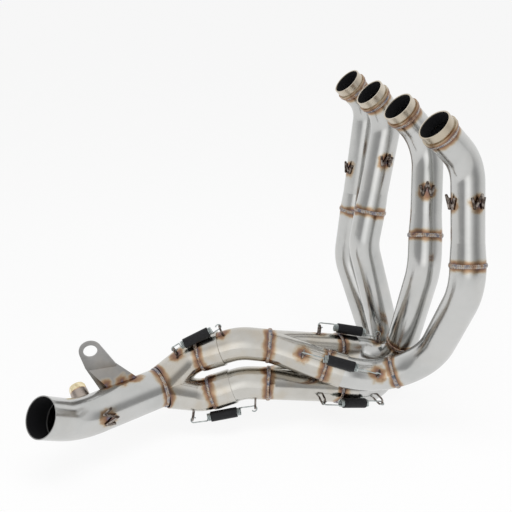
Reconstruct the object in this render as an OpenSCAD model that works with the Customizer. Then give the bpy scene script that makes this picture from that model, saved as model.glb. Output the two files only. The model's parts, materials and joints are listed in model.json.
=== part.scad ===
/* [Ports] */
// Distance between neighbouring exhaust ports
port_pitch = 80; // [74:1:90]
// How far the two loose middle runners stand from the even pitch
port_drift = 7; // [0:1:9]
// Angle of the ports below the horizontal
port_tilt = 45; // [40:1:50]
// Bore of the port collars
port_bore = 36; // [34:0.5:37]
// Length of the turned collar in front of its shoulder
collar_len = 10; // [8:0.5:14]
// Wall of the turned collar
collar_wall = 1.6; // [1.2:0.1:3]
// Length of the shoulder that the port flange pushes on
shoulder_len = 3.5; // [2.5:0.5:5]
// How far the shoulder stands out from the collar
shoulder_step = 1.8; // [1.2:0.1:3]

/* [Tubes] */
// Outer diameter of the runners at the ports
head_od = 38; // [36.8:0.1:40]
// Outer diameter of the runners below their step
runner_od = 41; // [39:0.5:43]
// Length of the cone between the two runner sizes
step_len = 24; // [16:1:30]
// Outer diameter of the secondary pipes
second_od = 43; // [41:0.5:46]
// Outer diameter of the link pipe
link_od = 50.8; // [48:0.2:54]
// Wall of all the tubes
wall = 1.2; // [1:0.1:1.6]
// Wall of the slip sockets
socket_wall = 1.5; // [1.2:0.1:2]
// Radial gap between a socket and the tube inside it
slip_gap = 0.2; // [0.1:0.05:0.4]
// Length of the slip sockets of the runners
socket_len = 22; // [18:1:26]
// Length of the slip sockets of the collector
second_socket_len = 27; // [22:1:28]
// Thickness of the shoulder at the bottom of a socket
socket_base = 2; // [1.5:0.5:3]

/* [Welds] */
// Width of a weld bead
weld_w = 4; // [3:0.5:6]
// How far a weld bead stands out
weld_h = 0.8; // [0.5:0.1:1.2]

/* [Springs] */
// Outer diameter of the spring coils
spring_od = 10.4; // [9.5:0.1:11]
// Diameter of the spring wire
spring_wire = 1.6; // [1.4:0.1:1.8]
// Length of the closed coil
spring_len = 46; // [42:1:48]
// Outer diameter of the rubber sleeves
sleeve_od = 14; // [13:0.5:15]
// Length of the rubber sleeves
sleeve_len = 36; // [30:1:38]
// Gap between a sleeve and its coil
sleeve_gap = 0.1; // [0.05:0.05:0.2]
// Diameter of the wire of the welded hooks
hook_wire = 2.6; // [2.2:0.1:3]
// Middle radius of the arch of a welded hook
hook_r = 4.6; // [4.2:0.1:5]
// Diameter of the wire of the bent hooks for the port and outlet springs
bent_wire = 3.2; // [2.8:0.1:3.6]
// Gap between a sleeve and the socket it lies over
sleeve_lift = 0.6; // [0.4:0.1:1.5]

/* [Bracket and bung] */
// Thickness of the bracket sheet
sheet = 2.5; // [2:0.5:3]
// Radius of the bracket hole
tab_hole_r = 8.6; // [7.5:0.1:9]
// Radius of the round end of the bracket
tab_r = 14; // [13:0.5:15.5]
// Outer diameter of the sensor bung
bung_od = 22; // [21:0.5:24]
// Height of the bung outside the pipe
bung_len = 10; // [8:0.5:13]
// Diameter of the thread of the plug
plug_thread = 17; // [15:0.5:18]
// Size across the flats of the plug's hexagon
plug_flats = 19; // [18.5:0.5:22]
// Height of the plug's hexagon
plug_head = 8; // [6:0.5:10]

/* [Hidden] */
$fn = 48;

steel = [0.74, 0.74, 0.72];
warm_steel = [0.80, 0.76, 0.68];
weld_tint = [0.62, 0.50, 0.40];
rubber = [0.07, 0.07, 0.08];
zinc = [0.84, 0.74, 0.45];

head_r = head_od / 2;
runner_r = runner_od / 2;
second_r = second_od / 2;
link_r = link_od / 2;
socket_r = runner_r + slip_gap + socket_wall;
second_socket_r = second_r + slip_gap + socket_wall;
eps = 0.01;

// Vectors and frames
function unit(v) = v / norm(v);
function square_to(v, t) = unit(v - (v * t) * t);
function any_square(t) = square_to(abs(t[2]) < 0.9 ? [0, 0, 1] : [1, 0, 0], t);

module posed(p, z, x) {
  y = cross(z, x);
  multmatrix([
    [x[0], y[0], z[0], p[0]],
    [x[1], y[1], z[1], p[1]],
    [x[2], y[2], z[2], p[2]],
    [0, 0, 0, 1]
  ]) children();
}

// A path is straight lengths joined by arcs, each [start, length, point, heading, side, radius]
function turn(a, b, c) = acos(min(1, unit(b - a) * unit(c - b)));
function reach(a, b, c, r) = r * tan(turn(a, b, c) / 2);
function lengths(pts, r) = [
  for (i = [0:len(pts) - 2])
    let (
      last = len(pts) - 2,
      d = unit(pts[i + 1] - pts[i]),
      t0 = i == 0 ? 0 : reach(pts[i - 1], pts[i], pts[i + 1], r[i - 1]),
      t1 = i == last ? 0 : reach(pts[i], pts[i + 1], pts[i + 2], r[i]),
      run = norm(pts[i + 1] - pts[i]) - t0 - t1,
      straight = [run, pts[i] + d * t0, d, d, 0]
    )
    each i == last
      ? [straight]
      : let (
          d2 = unit(pts[i + 2] - pts[i + 1]),
          bend = r[i] * turn(pts[i], pts[i + 1], pts[i + 2]) * PI / 180
        )
        [straight, [bend, pts[i + 1] - d * t1, d, square_to(d2, d), r[i]]]
];
function path(pts, r) =
  let (q = lengths(pts, r))
  [for (i = 0, s = 0; i < len(q); s = s + q[i][0], i = i + 1) concat([s], q[i])];
function path_len(way) = let (q = way[len(way) - 1]) q[0] + q[1];
function part_of(way, s) = way[max([for (i = [0:len(way) - 1]) if (way[i][0] <= s + eps) i])];
function spot(way, s) =
  let (q = part_of(way, s), u = s - q[0], a = q[5] == 0 ? 0 : u / q[5] * 180 / PI)
  q[5] == 0 ? q[2] + q[3] * u : q[2] + q[5] * (sin(a) * q[3] + (1 - cos(a)) * q[4]);
function heading(way, s) =
  let (q = part_of(way, s), u = s - q[0], a = q[5] == 0 ? 0 : u / q[5] * 180 / PI)
  q[5] == 0 ? q[3] : cos(a) * q[3] + sin(a) * q[4];

// The tube along a path from station s0 to station s1, solid where r_in is 0
// A bend stretches its wall a hair thinner, and laps a little into the straight lengths beside it
lap = 0.1;
hair = 0.01;
module tube(way, s0, s1, r_out, r_in) {
  for (i = [0:len(way) - 1]) {
    q = way[i];
    a = (i == 0 ? s0 : max(s0, q[0])) - q[0];
    b = min(s1, q[0] + q[1]) - q[0];
    if (b > a + eps) {
      if (q[5] == 0)
        posed(q[2] + q[3] * a, q[3], any_square(q[3])) pipe(b - a, r_out, r_out, r_in, r_in);
      else {
        first = a - (q[0] > s0 + eps ? lap : 0);
        last = b + (q[0] + q[1] < s1 - eps ? lap : 0);
        posed(q[2] + q[5] * q[4], cross(-q[4], q[3]), -q[4])
          rotate([0, 0, first / q[5] * 180 / PI])
            rotate_extrude(angle = (last - first) / q[5] * 180 / PI)
              translate([q[5], 0]) washer(r_out - hair, r_in > 0 ? r_in + hair : 0);
      }
    }
  }
}

module washer(r_out, r_in) {
  difference() {
    circle(r = r_out);
    if (r_in > 0) circle(r = r_in);
  }
}

module pipe(h, ra, rb, ia, ib) {
  difference() {
    cylinder(h = h, r1 = ra, r2 = rb);
    if (ia > 0) {
      translate([0, 0, -1]) cylinder(h = 1 + eps, r = ia);
      cylinder(h = h, r1 = ia, r2 = ib);
      translate([0, 0, h - eps]) cylinder(h = 1, r = ib);
    }
  }
}

// A raised bead round a tube of radius r at station s
module bead(way, s, r) {
  posed(spot(way, s), heading(way, s), any_square(heading(way, s))) bead_ring(r);
}

module bead_ring(r) {
  rotate_extrude()
    intersection() {
      translate([r + weld_h - weld_round, 0]) circle(r = weld_round);
      translate([r, -weld_w]) square([weld_w, 2 * weld_w]);
    }
}

// Radius of the bead's back, from its width and height
weld_round = (weld_w * weld_w / 4 + weld_h * weld_h) / (2 * weld_h);

// Ports, and the way each runner takes to its socket
port_dir = [cos(port_tilt), 0, -sin(port_tilt)];
function port(k) = [0, k * port_pitch + (k == 1 || k == 2 ? port_drift : 0), 0];

// Weld points where the merges meet the secondaries, and the collector the link pipe
upper_weld = [-156, 85, -304];
lower_weld = [-161, 70, -352];
link_weld = [-300, 98, -349];
// Corners of the two secondaries and the bottoms of the collector's sockets
upper_corner = [-194, 97, -300];
lower_corner = [-194, 80, -351];
upper_seat = [-241, 111, -317];
lower_seat = [-233, 88, -364];
// Mouths of the four runner sockets
mouths = [[-71, 39, -330], [-35, 96, -338], [-40, 76, -388], [-49, 128, -382]];
// Corners of the runners: first the length from the port to the first bend, then two points
first_leg = [68, 65, 43, 50];
high_corner = [[38, -48, -182], [24, 27, -188], [-7, 138, -202], [8, 219, -258]];
low_corner = [[26, 18, -356], [18, 63, -351], [46, 97, -423], [47, 142, -424]];
bend_r = [[45, 75, 80], [62, 59, 37], [52, 63, 44], [44, 65, 47]];
// Each runner turns once more just before its socket
lead_in = [7, 14, 10, 12];
lead_r = [30, 29, 34, 35];

// The cones of a merge, and the legs of the collector, aim a little past the weld that ends them
aim_past = 4;
upper_aim = upper_weld + aim_past * unit(upper_corner - upper_weld);
lower_aim = lower_weld + aim_past * unit(lower_corner - lower_weld);
function merge_out(k) = k < 2 ? upper_aim : lower_aim;
function inlet_dir(k) = unit(merge_out(k) - mouths[k]);
function runner_points(k) = [
  port(k),
  port(k) + first_leg[k] * port_dir,
  high_corner[k],
  low_corner[k],
  mouths[k] - lead_in[k] * inlet_dir(k),
  mouths[k] + (socket_len - socket_base) * inlet_dir(k)
];
runner = [for (k = [0:3]) path(runner_points(k), concat(bend_r[k], [lead_r[k]]))];
collar_end = collar_len + shoulder_len;
// Stations of the welds on each runner
mid_back = [2, 23, 36, 60];
low_back = [88, 112, 84, 84];
mid_weld = [for (k = [0:3]) runner[k][3][0] - mid_back[k]];
low_weld = [for (k = [0:3]) path_len(runner[k]) - low_back[k]];

secondary = [
  path([upper_weld, upper_corner, upper_seat], [66]),
  path([lower_weld, lower_corner, lower_seat], [56])
];
seats = [upper_seat, lower_seat];
corners = [upper_corner, lower_corner];
link_corner = [-410, 66, -355];
link_end = [-449, 40, -322];
link_bend_r = 72;
link = path([link_weld, link_corner, link_end], [link_bend_r]);
link_dir = unit(link_corner - link_weld);
link_aim = link_weld + aim_past * link_dir;
leg_first = 16;
leg_bend_r = 38;
function seat_dir(j) = unit(seats[j] - corners[j]);
leg = [for (j = [0:1]) path([seats[j], seats[j] + leg_first * seat_dir(j), link_aim], [leg_bend_r])];

// Collars and runners
module port_collar(k) {
  color(warm_steel)
    posed(port(k), port_dir, [0, 1, 0])
      difference() {
        union() {
          cylinder(h = collar_end, r = port_bore / 2 + collar_wall);
          translate([0, 0, collar_len])
            cylinder(h = shoulder_len, r = port_bore / 2 + collar_wall + shoulder_step);
        }
        translate([0, 0, -1]) cylinder(h = collar_end + 2, r = port_bore / 2);
      }
}

module runner_head(k) {
  cone_start = mid_weld[k] - step_len;
  d = heading(runner[k], cone_start);
  color(steel) {
    tube(runner[k], collar_end, cone_start + lap, head_r, head_r - wall);
    posed(spot(runner[k], cone_start), d, any_square(d))
      pipe(step_len, head_r + hair, runner_r, head_r - wall - hair, runner_r - wall);
  }
}

module runner_bend(k) {
  color(steel) tube(runner[k], mid_weld[k], low_weld[k], runner_r, runner_r - wall);
}

module runner_tail(k) {
  color(steel) tube(runner[k], low_weld[k], path_len(runner[k]), runner_r, runner_r - wall);
}

module runner_welds(k) {
  color(weld_tint) {
    bead(runner[k], collar_end + weld_w / 2, head_r);
    bead(runner[k], mid_weld[k] + weld_w / 2, runner_r);
    bead(runner[k], low_weld[k], runner_r);
  }
}

// Merges: two cones run from the socket bottoms to one weld, where a flat cut ends them
swell = 0.4;
cone_past = 14;
function merge_run(k) = norm(merge_out(k) - mouths[k]) - socket_len;
function merge_grow(k) = (second_r - swell * (1 + k % 2) - runner_r) / merge_run(k);
function cone_r(k, s) = runner_r + merge_grow(k) * (s - socket_len);
module merge_solid(a, b, cut) {
  less = cut * wall;
  for (k = [a, b]) {
    d = inlet_dir(k);
    tall = merge_run(k) + cone_past;
    posed(mouths[k] + (socket_len - cut) * d, d, any_square(d))
      cylinder(h = tall + cut, r1 = runner_r - less, r2 = runner_r + merge_grow(k) * tall - less);
  }
}

module past_weld(p, d) {
  posed(p, d, any_square(d)) cylinder(h = 3 * cone_past, r = 2 * link_r);
}

module merge(a, b, way) {
  color(steel)
    difference() {
      merge_solid(a, b, 0);
      merge_solid(a, b, 1);
      past_weld(spot(way, 0), heading(way, 0));
    }
}

module socket(mouth, d, len, r_tube) {
  posed(mouth, d, any_square(d))
    difference() {
      cylinder(h = len, r = r_tube + slip_gap + socket_wall);
      translate([0, 0, -1]) cylinder(h = len + 1 - socket_base, r = r_tube + slip_gap);
      cylinder(h = len + 1, r = r_tube - wall);
    }
}

module merge_sockets(a, b) {
  color(warm_steel) for (k = [a, b]) socket(mouths[k], inlet_dir(k), socket_len, runner_r);
}

module upper_secondary() {
  color(steel) tube(secondary[0], 0, path_len(secondary[0]) - socket_base, second_r, second_r - wall);
}

module lower_secondary() {
  color(steel) tube(secondary[1], 0, path_len(secondary[1]) - socket_base, second_r, second_r - wall);
}

// Collector: two bent legs swell into the link pipe's size and end in a flat cut at its weld
module collector_solid(cut) {
  less = cut * wall;
  for (j = [0:1]) {
    cone = leg[j][2];
    grow = (link_r - swell * (1 + j) - second_r) / cone[1];
    tall = cone[1] + cone_past;
    tube(leg[j], -cut, cone[0], second_r - less, 0);
    posed(cone[2] - cone[3] * lap, cone[3], any_square(cone[3]))
      cylinder(h = tall + lap, r1 = second_r - less, r2 = second_r + grow * tall - less);
  }
}

module collector() {
  color(steel)
    difference() {
      collector_solid(0);
      collector_solid(1);
      past_weld(link_weld, link_dir);
    }
}

module collector_sockets() {
  color(warm_steel)
    for (j = [0:1])
      socket(seats[j] - second_socket_len * seat_dir(j), seat_dir(j), second_socket_len, second_r);
}

module merge_welds() {
  color(weld_tint) {
    for (j = [0:1]) bead(secondary[j], weld_w / 2, second_r);
    for (k = [0:3]) {
      d = inlet_dir(k);
      posed(mouths[k] + (socket_len + weld_w / 2) * d, d, any_square(d))
        bead_ring(cone_r(k, socket_len + weld_w));
    }
  }
}

module collector_welds() {
  color(weld_tint) {
    bead(link, weld_w / 2, link_r);
    for (j = [0:1]) bead(leg[j], weld_w / 2, second_r);
  }
}

module link_pipe() {
  color(steel)
    difference() {
      tube(link, 0, path_len(link), link_r, link_r - wall);
      posed(bung_foot, bung_dir, any_square(bung_dir))
        translate([0, 0, -link_r / 2]) cylinder(h = link_r, d = plug_thread);
    }
}

// A wire arch that stands on a tube of radius r, with its feet apart along x
module arch(way, s, side, r, x, rise) {
  d = heading(way, s);
  up = square_to(side, d);
  z = cross(x, up);
  foot = r - hook_wire;
  posed(spot(way, s), z, x)
    difference() {
      union() {
        translate([0, r + rise, 0])
          rotate_extrude(angle = 180) translate([hook_r, 0]) circle(d = hook_wire - 2 * hair);
        for (e = [-1, 1])
          translate([e * hook_r, foot, 0])
            rotate([-90, 0, 0]) cylinder(h = r + rise - foot + lap, d = hook_wire);
      }
      rotate([0, atan2(d * x, d * z), 0]) cylinder(h = 4 * hook_r, r = r, center = true);
    }
}

// A wire bent to a W: its outer legs lie on the tube, and its middle stands out to hold a spring
foot_turn = 24;
foot_up = 5;
bend_turn = 15;
bend_down = 7;
tip_up = 8;
tip_out = 6;
module bent_hook(way, s, side, r) {
  d = heading(way, s);
  up = square_to(side, d);
  lie = r + bent_wire / 2 - wire_bed;
  bends = [
    for (q = [[-foot_turn, foot_up, lie], [-bend_turn, -bend_down, lie], [0, tip_up, r + tip_out],
              [bend_turn, -bend_down, lie], [foot_turn, foot_up, lie]])
      spot(way, s) - q[1] * d + q[2] * (cos(q[0]) * up + sin(q[0]) * cross(d, up))
  ];
  difference() {
    union() {
      for (i = [0:3]) rod(bends[i], bends[i + 1], bent_wire);
      for (i = [1:3]) translate(bends[i]) sphere(d = bent_wire + 4 * hair);
    }
    posed(spot(way, s), d, up) cylinder(h = 4 * tip_up, r = r, center = true);
  }
}
wire_bed = 0.3;

module rod(a, b, size) {
  posed(a, unit(b - a), any_square(unit(b - a))) cylinder(h = norm(b - a), d = size);
}

// How far the two hooks of each runner stand above its upper weld, and which ways they face
port_hook_at = [70, 53, 69, 60];
port_hook_sides = [
  [[0.1, -0.95, 0.3], [-1, 0.2, 0]],
  [[-0.45, -0.8, 0.4], [0.45, 0.8, -0.4]],
  [[0, -1, 0.15], [0, 1, -0.15]],
  [[1, 0.1, 0], [-1, -0.1, 0]]
];
module port_hooks(k) {
  color(steel)
    for (side = port_hook_sides[k])
      bent_hook(runner[k], mid_weld[k] - port_hook_at[k], side, head_r);
}

link_hook_at = 80;
module link_hook() {
  color(steel) bent_hook(link, link_hook_at, [0.3, -0.95, 0.2], link_r);
}

// Springs: [way of the far hook, its station, its tube's radius, way of the near hook, ...]
// Springs 1 to 4 hold the runners, and 5 and 6 the secondaries
spring_side = [[0, -0.8, 0.6], [0, 0.35, 1], [0, -1, -0.15], [0, 0.9, -0.75], [0, 0, 1], [0, -0.6, -1]];
merge_way = [for (k = [0:3]) path([mouths[k], merge_out(k)], [])];
hook_far = [57, 54, 56, 52, 28, 24];
hook_near = [66, 60, 48, 48, 35, 58];
function far_way(n) = n < 4 ? merge_way[n] : leg[n - 4];
function near_way(n) = n < 4 ? runner[n] : secondary[n - 4];
function far_s(n) = hook_far[n];
function near_s(n) = path_len(near_way(n)) - hook_near[n];
function near_r(n) = n < 4 ? runner_r : second_r;
function far_r(n) = n < 4 ? cone_r(n, far_s(n)) : second_r;
// How much higher each spring stands, where its tube bends beneath it
spring_rise = [1.5, 0.7, 3.5, 1.5, 1, 2.5];
function bar_r(n) = (n < 4 ? socket_r : second_socket_r) + sleeve_lift + spring_rise[n] + sleeve_od / 2;
function bar_up(way, s, n) = square_to(spring_side[n], heading(way, s));
function bar(way, s, n) = spot(way, s) + bar_r(n) * bar_up(way, s, n);
function far_bar(n) = bar(far_way(n), far_s(n), n);
function near_bar(n) = bar(near_way(n), near_s(n), n);

module spring_hooks(n) {
  rise = bar_r(n) - hook_r;
  pull = near_bar(n) - far_bar(n);
  far_x = unit(cross(bar_up(far_way(n), far_s(n), n), pull));
  near_x = unit(cross(bar_up(near_way(n), near_s(n), n), pull));
  color(steel) {
    arch(far_way(n), far_s(n), spring_side[n], far_r(n), far_x, rise - far_r(n));
    arch(near_way(n), near_s(n), spring_side[n], near_r(n), near_x, rise - near_r(n));
  }
}

// Frame of a spring: its middle lies halfway between the two hooks
module along_spring(n) {
  a = far_bar(n);
  b = near_bar(n);
  d = unit(b - a);
  posed((a + b) / 2, d, square_to(spring_side[n], d)) children();
}

// The spring's end loops hang on the hooks' bars, and a stem and a bar tie them to the coil
loop_play = 1.4;
loop_r = (hook_wire + spring_wire) / 2 + loop_play;
hook_touch = 0.1;
stem_d = spring_wire - 0.2;
// How deep the bar lies in the coil's end, in wires
bar_in = 0.75;
module spring(n) {
  half = norm(near_bar(n) - far_bar(n)) / 2;
  loop_at = half + (hook_wire + spring_wire) / 2 + hook_touch - loop_r;
  bar_at = spring_len / 2 - bar_in * spring_wire;
  color(steel)
    along_spring(n) {
      coil();
      for (e = [-1, 1])
        rotate([0, e < 0 ? 180 : 0, 0]) {
          translate([0, 0, loop_at])
            rotate([90, 0, 0]) rotate_extrude() translate([loop_r, 0]) circle(d = spring_wire);
          translate([0, 0, bar_at]) cylinder(h = loop_at - loop_r - bar_at, d = stem_d);
          translate([0, 0, bar_at])
            rotate([0, 90, 0]) cylinder(h = spring_od - spring_wire, d = spring_wire, center = true);
        }
    }
}

// The closed coil, with one groove for each turn
module coil() {
  turns = floor(spring_len / spring_wire);
  rotate_extrude()
    translate([0, -spring_len / 2])
      polygon(concat(
        [[spring_od / 2 - spring_wire, 0]],
        [for (i = [0:turns - 1]) each [
          [spring_od / 2 - groove, i * spring_len / turns],
          [spring_od / 2, (i + 0.5) * spring_len / turns]
        ]],
        [[spring_od / 2 - groove, spring_len], [spring_od / 2 - spring_wire, spring_len]]
      ));
}
groove = 0.5;

module spring_sleeve(n) {
  color(rubber)
    along_spring(n)
      difference() {
        cylinder(h = sleeve_len, d = sleeve_od, center = true);
        cylinder(h = sleeve_len + 1, d = spring_od + 2 * sleeve_gap, center = true);
      }
}

// Bracket: a tab with a hole, a front panel down to the pipe and a back gusset
hole_at = [-383.5, 108, -284];
fold_z = -308;
tab_left = -392;
tab_right = -354;
tab_y = hole_at[1];
// Lower corners of the front panel and of the gusset, inside the pipe that is cut out of them
panel_left = [-356, 78, -340];
panel_right = [-316, 88, -336];
gusset_y = tab_y - sheet;
gusset_left = -374;
gusset_right = -350;
gusset_low = -350;
module plate(pts) {
  d = unit(pts[1] - pts[0]);
  up = unit(cross(d, pts[2] - pts[0]));
  side = cross(up, d);
  posed(pts[0], up, d)
    linear_extrude(height = sheet) polygon([for (p = pts) [(p - pts[0]) * d, (p - pts[0]) * side]]);
}

module bracket() {
  color(steel)
    difference() {
      union() {
        translate([hole_at[0], hole_at[1], hole_at[2]])
          rotate([90, 0, 0])
            linear_extrude(height = sheet)
              difference() {
                union() {
                  circle(r = tab_r);
                  polygon(tab_outline());
                }
                circle(r = tab_hole_r);
              }
        plate([[tab_left, tab_y, fold_z], [tab_right, tab_y, fold_z], panel_right, panel_left]);
        plate([
          [tab_left, gusset_y, fold_z], [tab_right, gusset_y, fold_z],
          [gusset_right, gusset_y, gusset_low], [gusset_left, gusset_y, gusset_low]
        ]);
      }
      tube(link, 0, path_len(link), link_r, 0);
    }
}

// The tab's sides run from its round end to the fold
function tab_outline() = let (
    low = fold_z - hole_at[2],
    left = tab_left - hole_at[0],
    right = tab_right - hole_at[0],
    ta = atan2(low, left) - acos(tab_r / norm([low, left])),
    tb = atan2(low, right) + acos(tab_r / norm([low, right]))
  ) [[left, low], tab_r * [cos(ta), sin(ta)], tab_r * [cos(tb), sin(tb)], [right, low]];

// Sensor bung, its washer and its plug, square to the link pipe where its bend starts
bung_at = 98;
bung_dir = square_to([-0.26, 0.84, 0.42], heading(link, bung_at));
bung_foot = spot(link, bung_at) + link_r * bung_dir;
washer_t = 1.2;
washer_rim = 1;
thread_gap = 0.05;
// Depth of the bung's foot before the pipe is cut out of it
bung_sink = bung_od / 4;
module sensor_bung() {
  color(steel)
    difference() {
      posed(bung_foot, bung_dir, any_square(bung_dir))
        translate([0, 0, -bung_sink])
          pipe(bung_len + bung_sink, bung_od / 2, bung_od / 2, plug_thread / 2, plug_thread / 2);
      tube(link, 0, path_len(link), link_r, 0);
    }
}

module plug_washer() {
  rim_r = plug_flats / 2 + washer_rim;
  color(zinc)
    posed(bung_foot + bung_len * bung_dir, bung_dir, any_square(bung_dir))
      pipe(washer_t, rim_r, rim_r, plug_thread / 2, plug_thread / 2);
}

// The hexagon's corners are turned off to a flat ring inside its flats
plug_rim = 0.2;
plug_slope = 0.5;
module sensor_plug() {
  thread = bung_len + washer_t + wall;
  color(zinc)
    posed(bung_foot + (bung_len + washer_t) * bung_dir, bung_dir, any_square(bung_dir)) {
      intersection() {
        cylinder(h = plug_head, d = plug_flats / cos(30), $fn = 6);
        cylinder(h = plug_head, r1 = plug_flats / 2 + plug_head * plug_slope, r2 = plug_flats / 2 - plug_rim);
      }
      translate([0, 0, -thread]) cylinder(h = thread + lap, r = plug_thread / 2 - thread_gap);
    }
}

port_collar(0);  // port_collar_1
port_collar(1);  // port_collar_2
port_collar(2);  // port_collar_3
port_collar(3);  // port_collar_4
runner_head(0);  // runner_head_1
runner_head(1);  // runner_head_2
runner_head(2);  // runner_head_3
runner_head(3);  // runner_head_4
runner_bend(0);  // runner_bend_1
runner_bend(1);  // runner_bend_2
runner_bend(2);  // runner_bend_3
runner_bend(3);  // runner_bend_4
runner_tail(0);  // runner_tail_1
runner_tail(1);  // runner_tail_2
runner_tail(2);  // runner_tail_3
runner_tail(3);  // runner_tail_4
runner_welds(0);  // runner_welds_1
runner_welds(1);  // runner_welds_2
runner_welds(2);  // runner_welds_3
runner_welds(3);  // runner_welds_4
port_hooks(0);  // port_hooks_1
port_hooks(1);  // port_hooks_2
port_hooks(2);  // port_hooks_3
port_hooks(3);  // port_hooks_4
merge(0, 1, secondary[0]);  // upper_merge
merge(2, 3, secondary[1]);  // lower_merge
merge_sockets(0, 1);  // upper_merge_sockets
merge_sockets(2, 3);  // lower_merge_sockets
upper_secondary();
lower_secondary();
collector();
collector_sockets();
merge_welds();
collector_welds();
link_pipe();
link_hook();
bracket();
sensor_bung();
sensor_plug();
plug_washer();
spring_hooks(0);  // spring_hooks_1
spring_hooks(1);  // spring_hooks_2
spring_hooks(2);  // spring_hooks_3
spring_hooks(3);  // spring_hooks_4
spring_hooks(4);  // spring_hooks_5
spring_hooks(5);  // spring_hooks_6
spring(0);  // spring_1
spring(1);  // spring_2
spring(2);  // spring_3
spring(3);  // spring_4
spring(4);  // spring_5
spring(5);  // spring_6
spring_sleeve(0);  // spring_sleeve_1
spring_sleeve(1);  // spring_sleeve_2
spring_sleeve(2);  // spring_sleeve_3
spring_sleeve(3);  // spring_sleeve_4
spring_sleeve(4);  // spring_sleeve_5
spring_sleeve(5);  // spring_sleeve_6
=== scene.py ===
import json
import math

import bpy
import numpy as np
from mathutils import Matrix, Vector
from mathutils.bvhtree import BVHTree


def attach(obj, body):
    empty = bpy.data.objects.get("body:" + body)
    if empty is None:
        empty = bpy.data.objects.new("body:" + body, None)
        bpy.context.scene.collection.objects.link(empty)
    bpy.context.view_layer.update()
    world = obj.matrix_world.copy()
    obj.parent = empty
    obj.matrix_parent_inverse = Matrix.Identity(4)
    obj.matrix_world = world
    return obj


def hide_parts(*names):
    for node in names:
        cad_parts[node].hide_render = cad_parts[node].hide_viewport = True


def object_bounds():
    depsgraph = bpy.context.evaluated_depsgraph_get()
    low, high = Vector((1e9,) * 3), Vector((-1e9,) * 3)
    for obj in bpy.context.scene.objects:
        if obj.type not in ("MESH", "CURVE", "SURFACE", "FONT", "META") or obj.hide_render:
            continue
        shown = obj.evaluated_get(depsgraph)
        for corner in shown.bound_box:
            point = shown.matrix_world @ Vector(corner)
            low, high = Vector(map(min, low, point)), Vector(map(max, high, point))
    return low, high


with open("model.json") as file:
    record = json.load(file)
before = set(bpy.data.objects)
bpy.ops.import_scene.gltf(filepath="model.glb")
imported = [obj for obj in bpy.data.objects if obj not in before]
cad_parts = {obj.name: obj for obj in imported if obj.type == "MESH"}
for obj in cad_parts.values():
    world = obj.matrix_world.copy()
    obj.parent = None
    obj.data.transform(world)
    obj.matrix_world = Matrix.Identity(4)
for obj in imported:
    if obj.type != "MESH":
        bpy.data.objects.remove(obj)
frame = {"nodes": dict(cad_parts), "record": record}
cadLow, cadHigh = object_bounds()
nodes = frame["nodes"]
print("frame loaded:", len(nodes), "nodes")


# Small helpers for working by hand

def pick(obj):
    bpy.ops.object.select_all(action="DESELECT")
    obj.select_set(True)
    bpy.context.view_layer.objects.active = obj
    return obj


def finishModifiers(obj):
    pick(obj)
    for modifier in list(obj.modifiers):
        bpy.ops.object.modifier_apply(modifier=modifier.name)
    return obj


def settle(obj):
    # the object ends at the origin, with its place in its mesh
    bpy.context.view_layer.update()
    obj.data.transform(obj.matrix_world)
    obj.matrix_world = Matrix.Identity(4)
    return obj


def copyOf(obj, place):
    twin = bpy.data.objects.new(obj.name, obj.data.copy())
    bpy.context.scene.collection.objects.link(twin)
    twin.data.transform(place)
    return twin


def joined(parts, name):
    bpy.ops.object.select_all(action="DESELECT")
    for part in parts:
        part.select_set(True)
    bpy.context.view_layer.objects.active = parts[0]
    if len(parts) > 1:
        bpy.ops.object.join()
    parts[0].name = name
    return parts[0]


def discard(obj):
    bpy.data.objects.remove(obj, do_unlink=True)


def pointsOf(obj):
    flat = np.zeros(len(obj.data.vertices) * 3)
    obj.data.vertices.foreach_get("co", flat)
    return flat.reshape(-1, 3)


joinDistance = 1e-6


def islandsOf(nodeName):
    # the separate solids of a node, each as its points
    twin = copyOf(nodes[nodeName], Matrix.Identity(4))
    pick(twin)
    bpy.ops.object.mode_set(mode="EDIT")
    bpy.ops.mesh.select_all(action="SELECT")
    bpy.ops.mesh.remove_doubles(threshold=joinDistance)
    bpy.ops.mesh.separate(type="LOOSE")
    bpy.ops.object.mode_set(mode="OBJECT")
    found = []
    for part in list(bpy.context.selected_objects):
        found.append(pointsOf(part))
        discard(part)
    return found


def poseOf(centre, along, side):
    # a frame whose Z runs along the first direction and whose X leans to the second
    z = Vector(along).normalized()
    x = Vector(side)
    x = (x - z * x.dot(z)).normalized()
    turned = Matrix((x, z.cross(x), z)).transposed().to_4x4()
    return Matrix.Translation(Vector(centre)) @ turned


def anySide(direction):
    return (0, 0, 1) if abs(direction[2]) < 0.9 else (1, 0, 0)


# Where the welds and hooks are, measured on the frame

def ringOf(points):
    centre = points.mean(axis=0)
    spread = np.linalg.svd(points - centre, full_matrices=False)[2]
    axis = spread[2]
    radial = points - centre - np.outer((points - centre) @ axis, axis)
    return {"centre": centre, "axis": axis, "radius": np.linalg.norm(radial, axis=1).max()}


weldNodes = [f"runner_welds_{k}" for k in (1, 2, 3, 4)] + ["merge_welds", "collector_welds"]
hookNodes = [f"port_hooks_{k}" for k in (1, 2, 3, 4)] + ["link_hook"]
hookNodes += [f"spring_hooks_{k}" for k in (1, 2, 3, 4, 5, 6)]
rings = {name: [ringOf(points) for points in islandsOf(name)] for name in weldNodes}
hookSpots = [points.mean(axis=0) for name in hookNodes for points in islandsOf(name)]
print("welds:", sum(len(found) for found in rings.values()), "hook wires:", len(hookSpots))


def skinOf(obj):
    mesh = obj.data
    return BVHTree.FromPolygons(
        [vertex.co for vertex in mesh.vertices], [tuple(face.vertices) for face in mesh.polygons]
    )


footGap = 0.0012


def footPoints(first, second, gap):
    # the first node's points that lie on the second one's surface
    skin = skinOf(second)
    found = [vertex.co for vertex in first.data.vertices if skin.find_nearest(vertex.co, gap)[0]]
    return sorted((np.array(point) for point in found), key=tuple)


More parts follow.
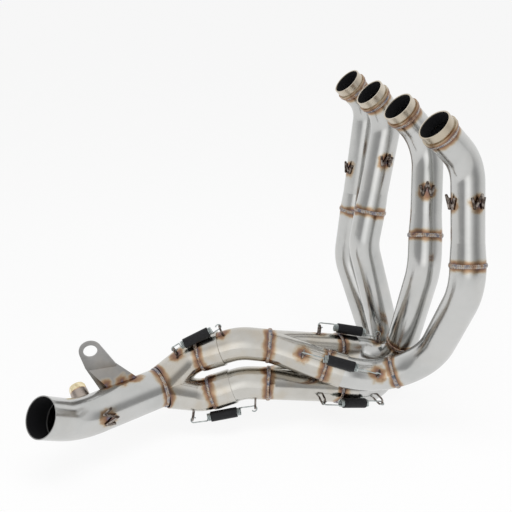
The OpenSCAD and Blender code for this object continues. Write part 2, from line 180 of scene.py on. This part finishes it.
bracketFoot = footPoints(nodes["bracket"], nodes["link_pipe"], footGap)
weldSpots = hookSpots + bracketFoot
print("bracket foot:", len(bracketFoot), "points")


# Node building

def link(tree, value, socket):
    if isinstance(value, bpy.types.NodeSocket):
        tree.links.new(value, socket)
    elif value is not None:
        socket.default_value = value


def put(tree, kind, inputs=None, **settings):
    made = tree.nodes.new(kind)
    for key, value in settings.items():
        setattr(made, key, value)
    for key, value in (inputs or {}).items():
        link(tree, value, made.inputs[key])
    return made


def calc(tree, operation, *values, clamp=False):
    made = put(tree, "ShaderNodeMath", dict(enumerate(values)), operation=operation, use_clamp=clamp)
    return made.outputs[0]


def vector(tree, operation, *values):
    made = put(tree, "ShaderNodeVectorMath", dict(enumerate(values)), operation=operation)
    return made.outputs["Value" if operation in ("DOT_PRODUCT", "LENGTH") else "Vector"]


def scaled(tree, value, factor):
    made = put(tree, "ShaderNodeVectorMath", {0: value, "Scale": factor}, operation="SCALE")
    return made.outputs["Vector"]


def spanned(tree, value, low, high, toLow=0.0, toHigh=1.0):
    inputs = {"Value": value, "From Min": low, "From Max": high, "To Min": toLow, "To Max": toHigh}
    return put(tree, "ShaderNodeMapRange", inputs, interpolation_type="SMOOTHSTEP").outputs["Result"]


def mixed(tree, share, first, second):
    made = put(tree, "ShaderNodeMix", {0: share, 6: first, 7: second}, data_type="RGBA")
    return made.outputs[2]


noiseSpan = (0.3, 0.7)  # where most of a noise's values lie


def noise(tree, place, scale, detail=3.0, rough=0.5):
    inputs = {"Vector": place, "Scale": scale, "Detail": detail, "Roughness": rough}
    return put(tree, "ShaderNodeTexNoise", inputs).outputs["Fac"]


def fillRamp(ramp, colourSteps):
    # a colour ramp starts with two steps of its own
    steps = ramp.color_ramp.elements
    for index, (position, colour) in enumerate(colourSteps):
        step = steps[index] if index < 2 else steps.new(position)
        step.position, step.color = position, (*colour, 1)


def newGroup(name, inputs, outputs):
    tree = bpy.data.node_groups.new(name, "ShaderNodeTree")
    for socketName, kind, start in inputs:
        socket = tree.interface.new_socket(name=socketName, in_out="INPUT", socket_type=kind)
        socket.default_value = start
    for socketName, kind in outputs:
        tree.interface.new_socket(name=socketName, in_out="OUTPUT", socket_type=kind)
    entry = tree.nodes.new("NodeGroupInput").outputs
    leave = tree.nodes.new("NodeGroupOutput").inputs
    place = put(tree, "ShaderNodeTexCoord").outputs["Object"]
    return tree, entry, leave, place


def useGroup(tree, group, inputs=None):
    made = tree.nodes.new("ShaderNodeGroup")
    made.node_tree = group
    for key, value in (inputs or {}).items():
        link(tree, value, made.inputs[key])
    return made.outputs


number, arrow, paint = "NodeSocketFloat", "NodeSocketVector", "NodeSocketColor"


def aroundAxis(tree, place, start, axis):
    # how far along an axis a point lies, and how far away from it
    offset = vector(tree, "SUBTRACT", place, start)
    along = vector(tree, "DOT_PRODUCT", offset, axis)
    away = vector(tree, "LENGTH", vector(tree, "SUBTRACT", offset, scaled(tree, axis, along)))
    return along, away


# Heat on both sides of a ring weld: 1 at the bead, 0 where the heat did not reach
bandEdge = {"scale": 70.0, "wander": 0.9, "offSkin": 0.002, "tooFar": 0.006}
heatBand, entry, leave, place = newGroup(
    "heatBand",
    [
        ("Centre", arrow, (0, 0, 0)), ("Axis", arrow, (0, 0, 1)),
        ("Radius", number, 0.02), ("Reach", number, 0.014),
    ],
    [("Heat", number)],
)
along, away = aroundAxis(heatBand, place, entry["Centre"], entry["Axis"])
wander = calc(heatBand, "SUBTRACT", noise(heatBand, place, bandEdge["scale"]), 0.5)
swing = calc(heatBand, "MULTIPLY", entry["Reach"], bandEdge["wander"])
wander = calc(heatBand, "MULTIPLY", wander, swing)
reached = calc(heatBand, "ADD", calc(heatBand, "ABSOLUTE", along), wander)
kept = calc(heatBand, "SUBTRACT", 1.0, calc(heatBand, "DIVIDE", reached, entry["Reach"]), clamp=True)
above = calc(heatBand, "SUBTRACT", away, entry["Radius"])
near = spanned(heatBand, above, bandEdge["offSkin"], bandEdge["tooFar"], 1.0, 0.0)
link(heatBand, calc(heatBand, "MULTIPLY", kept, near), leave["Heat"])

# Heat round a point, where a hook or the bracket is welded on
spotEdge = {"scale": 120.0, "wander": 0.012}
heatSpot, entry, leave, place = newGroup(
    "heatSpot", [("Centre", arrow, (0, 0, 0)), ("Size", number, 0.02)], [("Heat", number)]
)
far = vector(heatSpot, "LENGTH", vector(heatSpot, "SUBTRACT", place, entry["Centre"]))
wander = calc(heatSpot, "SUBTRACT", noise(heatSpot, place, spotEdge["scale"]), 0.5)
wander = calc(heatSpot, "MULTIPLY", wander, spotEdge["wander"])
share = calc(heatSpot, "DIVIDE", calc(heatSpot, "ADD", far, wander), entry["Size"])
link(heatSpot, calc(heatSpot, "SUBTRACT", 1.0, share, clamp=True), leave["Heat"])

# Temper colours of stainless steel, laid over the bare metal by heat
temper, entry, leave, place = newGroup(
    "temper", [("Heat", number, 0.0), ("Steel", paint, (0.6, 0.6, 0.6, 1))], [("Colour", paint)]
)
ramp = put(temper, "ShaderNodeValToRGB", {"Fac": entry["Heat"]})
temperSteps = [
    (0.0, (0.56, 0.54, 0.49)), (0.18, (0.51, 0.45, 0.35)), (0.33, (0.40, 0.28, 0.18)),
    (0.48, (0.28, 0.165, 0.10)), (0.62, (0.20, 0.12, 0.10)), (0.80, (0.18, 0.17, 0.22)),
    (1.0, (0.34, 0.36, 0.38)),
]
fillRamp(ramp, temperSteps)
coveredAt = 0.35
cover = spanned(temper, entry["Heat"], 0.0, coveredAt)
link(temper, mixed(temper, cover, entry["Steel"], ramp.outputs["Color"]), leave["Colour"])

# The satin surface of a bent and cleaned tube
satinNoise = {
    "Tone": {"detail": 5.0, "rough": 0.6}, "Streak": {"detail": 4.0, "rough": 0.7},
    "Height": {"detail": 3.0, "rough": 0.45},
}
waveScale = 30.0
satin, entry, leave, place = newGroup(
    "satin",
    [("Cloud", number, 18.0), ("Grain", number, 1800.0)],
    [("Tone", number), ("Streak", number), ("Height", number)],
)
for output, scale in (("Tone", entry["Cloud"]), ("Streak", entry["Grain"]), ("Height", waveScale)):
    link(satin, noise(satin, place, scale, **satinNoise[output]), leave[output])

# Painted shade inside a straight pipe end, dark where the bore lies in shadow: 1 within the radius and the
# depth from the mouth
boreShadeEdge = {"skin": 0.0002, "lip": 0.0012, "fade": 0.002}
boreShadeDepth, entry, leave, place = newGroup(
    "boreShadeDepth",
    [
        ("Mouth", arrow, (0, 0, 0)), ("Inward", arrow, (0, 0, 1)),
        ("Radius", number, 0.018), ("Depth", number, 0.03),
    ],
    [("BoreShade", number)],
)
deep, away = aroundAxis(boreShadeDepth, place, entry["Mouth"], entry["Inward"])
outside = calc(boreShadeDepth, "SUBTRACT", away, entry["Radius"])
inside = spanned(boreShadeDepth, outside, 0.0, boreShadeEdge["skin"], 1.0, 0.0)
started = spanned(boreShadeDepth, deep, boreShadeEdge["skin"], boreShadeEdge["lip"])
beyond = calc(boreShadeDepth, "SUBTRACT", deep, entry["Depth"])
ended = spanned(boreShadeDepth, beyond, -boreShadeEdge["fade"], boreShadeEdge["fade"], 1.0, 0.0)
lengthwise = calc(boreShadeDepth, "MULTIPLY", started, ended)
link(boreShadeDepth, calc(boreShadeDepth, "MULTIPLY", inside, lengthwise), leave["BoreShade"])


def newMaterial(name):
    made = bpy.data.materials.new(name)
    made.use_nodes = True
    shader = made.node_tree.nodes["Principled BSDF"]
    return made, made.node_tree, shader


def addBump(tree, shader, height, strength, distance):
    inputs = {"Height": height, "Strength": strength, "Distance": distance}
    link(tree, put(tree, "ShaderNodeBump", inputs).outputs["Normal"], shader.inputs["Normal"])


def patchyMetal(name, look):
    # a metal whose colour and roughness follow one noise
    made, tree, shader = newMaterial(name)
    place = put(tree, "ShaderNodeTexCoord").outputs["Object"]
    tone = noise(tree, place, look["scale"], look["detail"], look["spread"])
    share = spanned(tree, tone, *look["patches"])
    colour = mixed(tree, share, (*look["light"], 1), (*look["dark"], 1))
    link(tree, colour, shader.inputs["Base Color"])
    link(tree, spanned(tree, tone, *noiseSpan, *look["rough"]), shader.inputs["Roughness"])
    shader.inputs["Metallic"].default_value = 1.0
    return made, tree, shader, place


strawTint = {"scale": 30.0, "detail": 4.0, "from": 0.42, "to": 0.68, "colour": (0.50, 0.42, 0.31, 1)}
# near-black painted shade for the shadowed inside of the pipe mouths, rough and not metal
boreShadeTint = {"colour": (0.004, 0.004, 0.005, 1), "rough": 0.95}
steelSurface = {"patches": (0.35, 0.7), "smoother": 0.03, "rougher": 0.04, "bumpDepth": 0.001}


def steelMaterial(name, look, bands=(), spots=(), shadedMouths=()):
    made, tree, shader = newMaterial(name)
    skin = useGroup(tree, satin, {"Cloud": look["cloud"], "Grain": look["grain"]})
    place = put(tree, "ShaderNodeTexCoord").outputs["Object"]
    heat = None
    for ring in bands:
        inputs = {"Centre": ring["centre"], "Axis": ring["axis"], "Radius": ring["radius"]}
        inputs["Reach"] = look["reach"]
        found = calc(tree, "MULTIPLY", useGroup(tree, heatBand, inputs)["Heat"], look["bandHeat"])
        heat = found if heat is None else calc(tree, "MAXIMUM", heat, found)
    for spot in spots:
        found = useGroup(tree, heatSpot, {"Centre": spot, "Size": look["spotSize"]})["Heat"]
        found = calc(tree, "MULTIPLY", found, look["spotHeat"])
        heat = found if heat is None else calc(tree, "MAXIMUM", heat, found)
    share = spanned(tree, skin["Tone"], *steelSurface["patches"])
    bare = mixed(tree, share, (*look["light"], 1), (*look["dark"], 1))
    if look["straw"] > 0:
        warm = noise(tree, place, strawTint["scale"], strawTint["detail"])
        warm = spanned(tree, warm, strawTint["from"], strawTint["to"])
        bare = mixed(tree, calc(tree, "MULTIPLY", warm, look["straw"]), bare, strawTint["colour"])
    colour = bare
    if heat is not None:
        colour = useGroup(tree, temper, {"Heat": heat, "Steel": bare})["Colour"]
    smoothest, roughest = look["rough"] - steelSurface["smoother"], look["rough"] + steelSurface["rougher"]
    rough = spanned(tree, skin["Streak"], *noiseSpan, smoothest, roughest)
    metal = 1.0
    # painted shade: the inside of each pipe mouth is darkened where the bore lies in shadow
    for mouth, inward, radius, depth in shadedMouths:
        inputs = {"Mouth": mouth, "Inward": inward, "Radius": radius, "Depth": depth}
        boreShade = useGroup(tree, boreShadeDepth, inputs)["BoreShade"]
        colour = mixed(tree, boreShade, colour, boreShadeTint["colour"])
        rough = calc(tree, "MAXIMUM", rough, calc(tree, "MULTIPLY", boreShade, boreShadeTint["rough"]))
        metal = calc(tree, "SUBTRACT", 1.0, boreShade)
    link(tree, colour, shader.inputs["Base Color"])
    link(tree, rough, shader.inputs["Roughness"])
    link(tree, metal, shader.inputs["Metallic"])
    addBump(tree, shader, skin["Height"], look["bump"], steelSurface["bumpDepth"])
    return made


def dress(obj, material):
    if not obj.material_slots:
        obj.data.materials.append(material)
    for slot in obj.material_slots:
        slot.material = material


# The finish of each kind of piece
tubeLook = {
    "light": (0.585, 0.585, 0.575), "dark": (0.515, 0.52, 0.51), "straw": 0.05, "rough": 0.2,
    "cloud": 14.0, "grain": 160.0, "reach": 0.0105, "bandHeat": 0.74, "bump": 0.12,
    "spotSize": 0.016, "spotHeat": 0.8,
}
mergeLook = dict(
    tubeLook, light=(0.59, 0.575, 0.54), dark=(0.50, 0.485, 0.45), straw=0.35, rough=0.17, reach=0.012
)
socketLook = dict(mergeLook, straw=0.5, rough=0.22)
collarLook = dict(
    tubeLook, light=(0.62, 0.56, 0.47), dark=(0.52, 0.46, 0.37), straw=0.4, rough=0.3, reach=0.009
)
bracketLook = dict(
    tubeLook, light=(0.41, 0.40, 0.39), dark=(0.31, 0.305, 0.30), rough=0.34, straw=0.2, spotSize=0.013
)
bungLook = dict(tubeLook, light=(0.55, 0.50, 0.45), dark=(0.42, 0.36, 0.32), straw=0.5, rough=0.3)

portAxis = Vector((math.sqrt(0.5), 0, -math.sqrt(0.5)))
ports = {m["name"]: m for m in frame["record"]["mounts"]}
# How far in the painted shade of the bore is laid, short of each pipe's first bend
portBore = {"radius": 0.0181, "depth": 0.024}
outlet = {"radius": 0.0247, "depth": 0.032}
# How close a weld or a hook has to be to a piece to colour it
heatLimit = {"plane": 0.006, "edge": 0.002, "spot": 0.008, "apart": 0.014}


def ringsNear(points):
    close = []
    for found in rings.values():
        for ring in found:
            offset = points - ring["centre"]
            axial = offset @ ring["axis"]
            radial = np.linalg.norm(offset - np.outer(axial, ring["axis"]), axis=1)
            within = radial < ring["radius"] + heatLimit["edge"]
            if np.any((np.abs(axial) < heatLimit["plane"]) & within):
                close.append(ring)
    return close


def spotsNear(node):
    # one spot for hook wires that stand side by side
    skin = skinOf(node)
    close = []
    for spot in weldSpots:
        touched = skin.find_nearest(spot, heatLimit["spot"])[0]
        if touched and all((touched - other).length > heatLimit["apart"] for other in close):
            close.append(touched)
    return close


looks = {}
for name in nodes:
    if name.startswith(("runner_head", "runner_bend", "runner_tail", "link_pipe")):
        looks[name] = tubeLook
    elif name.startswith("port_collar"):
        looks[name] = collarLook
    elif name.endswith("sockets"):
        looks[name] = socketLook
    elif name in ("upper_merge", "lower_merge", "upper_secondary", "lower_secondary", "collector"):
        looks[name] = mergeLook
    elif name == "bracket":
        looks[name] = bracketLook
    elif name == "sensor_bung":
        looks[name] = bungLook

for name, look in looks.items():
    points = pointsOf(nodes[name])
    # the pipe mouths whose bore gets painted shade inside
    mouths = []
    if name.startswith(("port_collar", "runner_head")):
        mouth = Vector(ports[f"port_{name[-1]}"]["pos_m"])
        mouths.append((mouth, portAxis, portBore["radius"], portBore["depth"]))
    if name == "link_pipe":
        out = ports["outlet"]
        axis = Vector(out["axis"])
        mouth = Vector(out["pos_m"]) + axis * out["dims"]["length_mm"] / 2000
        mouths.append((mouth, -axis, outlet["radius"], outlet["depth"]))
    dress(nodes[name], steelMaterial(name, look, ringsNear(points), spotsNear(nodes[name]), mouths))
print("steel finishes:", len(looks))


# Weld beads: a ring of overlapping ripples on each joint

beadSize = {
    "pitch": 0.0021, "along": 0.0019, "across": 0.0027, "high": 0.0013,
    "lean": math.radians(22), "stand": 0.0008, "segments": 10, "rings": 6,
}


def rippleRing(radius):
    count = round(2 * math.pi * radius / beadSize["pitch"])
    bpy.ops.object.select_all(action="DESELECT")
    bpy.ops.mesh.primitive_uv_sphere_add(
        segments=beadSize["segments"], ring_count=beadSize["rings"], radius=1
    )
    ripple = bpy.context.object
    bpy.ops.object.mode_set(mode="EDIT")
    bpy.ops.mesh.select_all(action="SELECT")
    bpy.ops.transform.resize(value=(beadSize["high"], beadSize["along"], beadSize["across"]))
    bpy.ops.transform.rotate(value=beadSize["lean"], orient_axis="Z", center_override=(0, 0, 0))
    bpy.ops.transform.translate(value=(radius, 0, 0))
    bpy.ops.mesh.faces_shade_smooth()
    bpy.ops.object.mode_set(mode="OBJECT")
    bpy.ops.object.empty_add(rotation=(0, 0, 2 * math.pi / count))
    turner = bpy.context.object
    bpy.context.view_layer.update()
    array = ripple.modifiers.new("around", "ARRAY")
    array.use_relative_offset = False
    array.use_object_offset = True
    array.offset_object = turner
    array.count = count
    finishModifiers(ripple)
    discard(turner)
    return ripple


weldLook = {
    "patch": 95.0, "detail": 3.0, "spread": 0.6, "grain": 400.0, "rough": (0.2, 0.38),
    "tints": [
        (0.30, (0.12, 0.15, 0.18)), (0.41, (0.25, 0.23, 0.26)), (0.50, (0.46, 0.42, 0.38)),
        (0.59, (0.38, 0.26, 0.18)), (0.71, (0.19, 0.12, 0.11)),
    ],
}


def weldMaterial():
    made, tree, shader = newMaterial("weldBead")
    place = put(tree, "ShaderNodeTexCoord").outputs["Object"]
    patch = noise(tree, place, weldLook["patch"], weldLook["detail"], weldLook["spread"])
    ramp = put(tree, "ShaderNodeValToRGB", {"Fac": patch})
    fillRamp(ramp, weldLook["tints"])
    link(tree, ramp.outputs["Color"], shader.inputs["Base Color"])
    rough = spanned(tree, noise(tree, place, weldLook["grain"]), *noiseSpan, *weldLook["rough"])
    link(tree, rough, shader.inputs["Roughness"])
    shader.inputs["Metallic"].default_value = 1.0
    return made


weldSkin = weldMaterial()
beadNames = {"merge_welds": "mergeBeads", "collector_welds": "collectorBeads"}
for name, found in rings.items():
    parts = []
    for ring in found:
        bead = rippleRing(ring["radius"] - beadSize["stand"])
        bead.data.transform(poseOf(ring["centre"], ring["axis"], anySide(ring["axis"])))
        parts.append(bead)
    piece = joined(parts, beadNames.get(name, f"runnerBeads_{name[-1]}"))
    dress(piece, weldSkin)
    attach(piece, "root")
    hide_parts(name)
print("weld beads laid")


# Springs: close wound wire with a hook at each end

springSize = {
    "wire": 0.0016, "coilRadius": 0.0044, "length": 0.046, "climb": 0.0016,
    "loopRadius": 0.0035, "tip": 0.0043, "beforeLoop": 0.002, "endReach": 0.004,
    "sides": 10, "slack": 0.98, "turnSteps": 22, "liftSteps": 12, "loopAngle": 250, "loopStep": 12,
}


def coilMesh():
    turns = int(springSize["length"] / springSize["wire"]) - 1
    bpy.ops.object.select_all(action="DESELECT")
    bpy.ops.mesh.primitive_circle_add(
        vertices=springSize["sides"], radius=springSize["wire"] / 2 * springSize["slack"],
        location=(springSize["coilRadius"], 0, 0), rotation=(math.pi / 2, 0, 0), fill_type="NGON",
    )
    coil = settle(bpy.context.object)
    screw = coil.modifiers.new("wind", "SCREW")
    screw.axis = "Z"
    screw.angle = turns * 2 * math.pi
    screw.screw_offset = turns * springSize["wire"]
    screw.steps = screw.render_steps = springSize["turnSteps"] * turns
    screw.use_smooth_shade = True
    finishModifiers(coil)
    coil.data.transform(Matrix.Translation((0, 0, -turns * springSize["wire"] / 2)))
    return coil, turns * springSize["wire"] / 2


def wireThrough(points, thickness, name):
    curve = bpy.data.curves.new(name, "CURVE")
    curve.dimensions = "3D"
    curve.bevel_depth = thickness / 2
    curve.bevel_resolution = 3
    curve.use_fill_caps = True
    spline = curve.splines.new("POLY")
    spline.points.add(len(points) - 1)
    for target, point in zip(spline.points, points):
        target.co = (*point, 1)
    wire = bpy.data.objects.new(name, curve)
    bpy.context.scene.collection.objects.link(wire)
    pick(wire)
    bpy.ops.object.convert(target="MESH")
    bpy.ops.object.shade_smooth()
    return bpy.context.object


def endHook(coilEnd, loopAt):
    # the last half turn climbs off the coil, runs straight out and bends round the welded hook
    r, loop = springSize["coilRadius"], springSize["loopRadius"]
    points = []
    lift = springSize["liftSteps"]
    for step in range(lift + 1):
        angle = math.radians(180 * step / lift - 180)
        climb = springSize["climb"] * (step / lift) ** 2
        points.append((r * math.cos(angle), r * math.sin(angle), coilEnd + climb))
    leaves = points[-1][2]
    straight = loopAt - springSize["beforeLoop"] - leaves
    for share in (0.25, 0.5, 0.75):
        points.append((r + (loop - r) * share, 0, leaves + straight * share))
    for angle in range(0, springSize["loopAngle"], springSize["loopStep"]):
        turn = math.radians(angle)
        points.append((loop * math.cos(turn), 0, loopAt + loop * math.sin(turn)))
    return wireThrough(points, springSize["wire"], "endHook")


def springFrame(name):
    # the spring's middle, its axis, the side its hooks open to and half its length
    points = pointsOf(nodes[name])
    axis = np.linalg.svd(points - points.mean(axis=0), full_matrices=False)[2][0]
    reach = points @ axis
    middle = points.mean(axis=0)
    middle = middle + axis * ((reach.max() + reach.min()) / 2 - middle @ axis)
    half = (reach.max() - reach.min()) / 2
    ends = points[np.abs((points - middle) @ axis) > half - springSize["endReach"]] - middle
    ends = ends - np.outer(ends @ axis, axis)
    side = np.linalg.svd(ends, full_matrices=False)[2][0]
    return middle, axis, side, half


springLook = {
    "scale": 220.0, "detail": 3.0, "spread": 0.5, "patches": (0.35, 0.65), "rough": (0.24, 0.38),
    "light": (0.52, 0.56, 0.55), "dark": (0.36, 0.40, 0.40),
}
springSkin = patchyMetal("springWire", springLook)[0]
springFrames = {}
for index in range(1, 7):
    name = f"spring_{index}"
    middle, axis, side, half = springFrame(name)
    springFrames[index] = (middle, axis, side)
    coil, coilEnd = coilMesh()
    loopAt = half - springSize["tip"]
    upper = endHook(coilEnd, loopAt)
    lower = copyOf(upper, Matrix.Rotation(math.pi, 4, "Y"))
    piece = joined([coil, upper, lower], f"springWire_{index}")
    piece.data.transform(poseOf(middle, axis, side))
    dress(piece, springSkin)
    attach(piece, "root")
    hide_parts(name)
print("springs wound")


# Rubber sleeves, soft at both ends

sleeveSize = {
    "radius": 0.0066, "wall": 0.0012, "length": 0.035, "edge": 0.0005,
    "sides": 40, "cuts": 5, "edgeSegments": 3, "smooth": math.radians(40),
}
sleeveLook = {
    "scale": 260.0, "detail": 4.0, "spread": 0.6, "patches": (0.4, 0.7), "rough": (0.45, 0.62),
    "dark": (0.004, 0.004, 0.005, 1), "light": (0.011, 0.011, 0.013, 1), "shine": 0.3,
    "bump": 0.3, "bumpDepth": 0.0003,
}


def sleeveMaterial():
    look = sleeveLook
    made, tree, shader = newMaterial("sleeveRubber")
    place = put(tree, "ShaderNodeTexCoord").outputs["Object"]
    tone = noise(tree, place, look["scale"], look["detail"], look["spread"])
    colour = mixed(tree, spanned(tree, tone, *look["patches"]), look["dark"], look["light"])
    link(tree, colour, shader.inputs["Base Color"])
    link(tree, spanned(tree, tone, *noiseSpan, *look["rough"]), shader.inputs["Roughness"])
    shader.inputs["Specular IOR Level"].default_value = look["shine"]
    addBump(tree, shader, tone, look["bump"], look["bumpDepth"])
    return made


def sleeveMesh():
    bpy.ops.object.select_all(action="DESELECT")
    bpy.ops.mesh.primitive_cylinder_add(
        vertices=sleeveSize["sides"], radius=sleeveSize["radius"], depth=sleeveSize["length"],
        end_fill_type="NOTHING",
    )
    sleeve = bpy.context.object
    bpy.ops.object.mode_set(mode="EDIT")
    bpy.ops.mesh.select_all(action="SELECT")
    bpy.ops.mesh.subdivide(number_cuts=sleeveSize["cuts"])
    bpy.ops.object.mode_set(mode="OBJECT")
    wall = sleeve.modifiers.new("wall", "SOLIDIFY")
    wall.thickness = sleeveSize["wall"]
    wall.offset = -1
    edge = sleeve.modifiers.new("edge", "BEVEL")
    edge.width = sleeveSize["edge"]
    edge.segments = sleeveSize["edgeSegments"]
    finishModifiers(sleeve)
    bpy.ops.object.shade_smooth_by_angle(angle=sleeveSize["smooth"])
    return sleeve


sleeveSkin = sleeveMaterial()
for index, (middle, axis, side) in springFrames.items():
    piece = sleeveMesh()
    piece.data.transform(poseOf(middle, axis, side))
    piece.name = f"rubberSleeve_{index}"
    dress(piece, sleeveSkin)
    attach(piece, "root")
    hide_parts(f"spring_sleeve_{index}")
print("sleeves on")


# Hooks, plug and washer

hookLook = {
    "scale": 180.0, "detail": 4.0, "spread": 0.6, "patches": (0.36, 0.60), "rough": (0.24, 0.42),
    "light": (0.36, 0.32, 0.29), "dark": (0.07, 0.05, 0.04),
}
plugLook = {
    "scale": 150.0, "detail": 4.0, "spread": 0.6, "patches": (0.38, 0.66), "rough": (0.14, 0.28),
    "light": (0.86, 0.76, 0.52), "dark": (0.66, 0.55, 0.34),
    "pits": 900.0, "bump": 0.1, "bumpDepth": 0.0002,
}
washerLook = dict(plugLook, rough=(0.24, 0.38), light=(0.70, 0.45, 0.30), dark=(0.52, 0.32, 0.22))


def platedMaterial(name, look):
    made, tree, shader, place = patchyMetal(name, look)
    addBump(tree, shader, noise(tree, place, look["pits"]), look["bump"], look["bumpDepth"])
    return made


hookSkin = patchyMetal("hookWire", hookLook)[0]
for name in hookNodes:
    dress(nodes[name], hookSkin)
dress(nodes["sensor_plug"], platedMaterial("plugZinc", plugLook))
dress(nodes["plug_washer"], platedMaterial("washerCopper", washerLook))
print("hooks and plug dressed")


# Camera, floor and light

view = {
    "place": (-0.3982, -0.6702, 0.1995), "down": math.radians(25.24), "turn": math.radians(16.44),
    "focalPixels": 712, "framePixels": 512, "sensor": 36,
}
bpy.ops.object.camera_add(
    location=view["place"], rotation=(math.pi / 2 - view["down"], 0, -view["turn"])
)
camera = bpy.context.object
camera.data.sensor_width = view["sensor"]
camera.data.lens = view["focalPixels"] / view["framePixels"] * view["sensor"]
bpy.context.scene.camera = camera

floorSize = {"wide": 40, "below": 0.0015, "colour": (0.88, 0.88, 0.88, 1), "glow": 0.86}
middle = (cadLow + cadHigh) / 2
floorPlace = (middle.x, middle.y, cadLow.z - floorSize["below"])
bpy.ops.mesh.primitive_plane_add(size=floorSize["wide"], location=floorPlace)
floor = bpy.context.object
floor.name = "floor"


def seenDirectly(tree):
    # camera, glossy and transmission rays see the white background
    path = put(tree, "ShaderNodeLightPath").outputs
    mirrored = calc(tree, "MAXIMUM", path["Is Camera Ray"], path["Is Glossy Ray"])
    return calc(tree, "MAXIMUM", mirrored, path["Is Transmission Ray"])


floorPaint = bpy.data.materials.new("floorPaint")
floorPaint.use_nodes = True
tree = floorPaint.node_tree
tree.nodes.clear()
matt = put(tree, "ShaderNodeBsdfDiffuse", {"Color": floorSize["colour"]}).outputs["BSDF"]
glow = put(tree, "ShaderNodeEmission", {"Color": (1, 1, 1, 1), "Strength": 1.0}).outputs["Emission"]
share = calc(tree, "MULTIPLY", seenDirectly(tree), floorSize["glow"])
blend = put(tree, "ShaderNodeMixShader", {0: share, 1: matt, 2: glow}).outputs["Shader"]
link(tree, blend, put(tree, "ShaderNodeOutputMaterial").inputs["Surface"])
dress(floor, floorPaint)

worldLight = {
    "fill": (0.55, 0.55, 0.55, 1), "roof": (0.95, 0.95, 0.95, 1), "backdrop": (1, 1, 1, 1),
    "roofFrom": 0.45, "roofTo": 0.85, "turned": 33.5,
}
world = bpy.data.worlds.new("studio")
bpy.context.scene.world = world
world.use_nodes = True
tree = world.node_tree
tree.nodes.clear()
path = put(tree, "ShaderNodeLightPath").outputs
heading = put(tree, "ShaderNodeTexCoord").outputs["Generated"]
parts = put(tree, "ShaderNodeSeparateXYZ", {"Vector": heading}).outputs
azimuth = calc(tree, "ARCTAN2", parts["X"], calc(tree, "MULTIPLY", parts["Y"], -1.0))
around = calc(tree, "ADD", calc(tree, "DIVIDE", azimuth, 2 * math.pi), 0.5)
tent = put(tree, "ShaderNodeValToRGB", {"Fac": around})
# The walls of the light tent: degrees to the right of the photo's view, and how bright each one is
tentSteps = [
    (-178, 1.0), (-125, 1.0), (-92, 0.72), (-60, 0.48), (-28, 0.40), (-14, 1.15), (6, 1.45),
    (24, 0.95), (40, 0.55), (56, 0.36), (74, 0.45), (94, 0.78), (125, 1.0),
]
placed = []
for side, level in tentSteps:
    turned = (side - worldLight["turned"]) % 360
    placed.append(((turned + 180) % 360 / 360, (level, level, level)))
fillRamp(tent, sorted(placed))
overhead = spanned(tree, parts["Z"], worldLight["roofFrom"], worldLight["roofTo"])
walls = mixed(tree, overhead, tent.outputs["Color"], worldLight["roof"])
shown = mixed(tree, path["Is Glossy Ray"], worldLight["fill"], walls)
direct = calc(tree, "MAXIMUM", path["Is Camera Ray"], path["Is Transmission Ray"])
shown = mixed(tree, direct, shown, worldLight["backdrop"])
background = put(tree, "ShaderNodeBackground", {"Color": shown, "Strength": 1.0}).outputs["Background"]
link(tree, background, put(tree, "ShaderNodeOutputWorld").inputs["Surface"])
print("world ready")


def softbox(name, place, size, power):
    bpy.ops.object.light_add(type="AREA", location=place)
    lamp = bpy.context.object
    lamp.name = name
    lamp.data.shape = "RECTANGLE"
    lamp.data.size, lamp.data.size_y = size
    lamp.data.energy = power
    lamp.rotation_euler = (middle - Vector(place)).to_track_quat("-Z", "Y").to_euler()
    lamp.visible_glossy = False  # the tent's walls are what the metal mirrors


softboxes = {
    "topSoftbox": {"place": (-0.3, -0.2, 1.1), "size": (1.1, 0.5), "power": 9},
    "rightSoftbox": {"place": (0.95, -0.55, 0.1), "size": (0.3, 1.2), "power": 5},
    "leftSoftbox": {"place": (-1.3, -0.9, 0.3), "size": (0.8, 0.9), "power": 6},
}
for name, lamp in softboxes.items():
    softbox(name, **lamp)

bpy.context.scene.view_settings.view_transform = "Standard"

print("scene complete")
